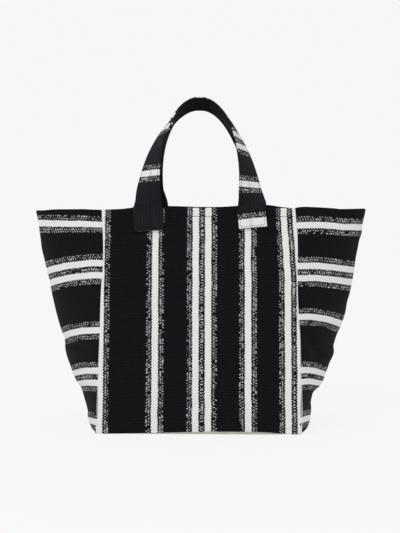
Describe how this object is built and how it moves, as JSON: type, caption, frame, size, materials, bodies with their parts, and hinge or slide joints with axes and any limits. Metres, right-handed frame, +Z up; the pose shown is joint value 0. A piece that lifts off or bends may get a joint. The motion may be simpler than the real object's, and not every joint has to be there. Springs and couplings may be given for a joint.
{
  "type": "canvas tote bag",
  "caption": "Open striped canvas tote bag with folded gussets that flare at the mouth, a stiffened flat base and two flat strap handles that swing at the rim.",
  "frame": {"origin": "middle of the footprint on the surface that the bag stands on", "axes": "+Z up, +X along the bag's length to its right seen from the front, -Y out of the front panel"},
  "size_m": [0.508, 0.19, 0.4996],
  "materials": {
    "striped_canvas": "woven black canvas with off-white stripes and ragged, mottled stripe edges",
    "natural_canvas": "undyed plain-weave canvas",
    "lining": "smooth black lining cloth",
    "seam_tape": "black twill binding tape",
    "strap_core": "undyed cotton webbing",
    "board": "matt grey stiffener board",
    "thread": "black polyester sewing thread"
  },
  "bodies": {
    "bag": {"front_panel": "striped_canvas", "back_panel": "striped_canvas", "left_gusset": "striped_canvas", "right_gusset": "striped_canvas", "front_lining": "lining", "back_lining": "lining", "left_gusset_lining": "lining", "right_gusset_lining": "lining", "front_rim_facing": "striped_canvas", "back_rim_facing": "striped_canvas", "left_gusset_facing": "striped_canvas", "right_gusset_facing": "striped_canvas", "front_rim_stitching": "thread", "back_rim_stitching": "thread", "left_gusset_stitching": "thread", "right_gusset_stitching": "thread", "front_left_seam_tape": "seam_tape", "front_right_seam_tape": "seam_tape", "back_left_seam_tape": "seam_tape", "back_right_seam_tape": "seam_tape", "base_panel": "natural_canvas", "base_board": "board", "base_lining": "lining", "front_left_strap_end": "striped_canvas", "front_right_strap_end": "striped_canvas", "back_left_strap_end": "striped_canvas", "back_right_strap_end": "striped_canvas", "front_left_box_stitching": "thread", "front_right_box_stitching": "thread", "back_left_box_stitching": "thread", "back_right_box_stitching": "thread"},
    "front_handle": {"front_handle_face": "striped_canvas", "front_handle_core": "strap_core", "front_handle_backing": "striped_canvas"},
    "back_handle": {"back_handle_face": "striped_canvas", "back_handle_core": "strap_core", "back_handle_backing": "striped_canvas"}
  },
  "joints": [
    {"name": "front_handle_swing", "type": "hinge", "parent": "bag", "child": "front_handle", "pos_m": [0, -0.05895, 0.33295], "axis": [1, 0, 0], "range_deg": [0, 155]},
    {"name": "back_handle_swing", "type": "hinge", "parent": "bag", "child": "back_handle", "pos_m": [0, 0.05895, 0.33295], "axis": [1, 0, 0], "range_deg": [-155, 0]}
  ]
}
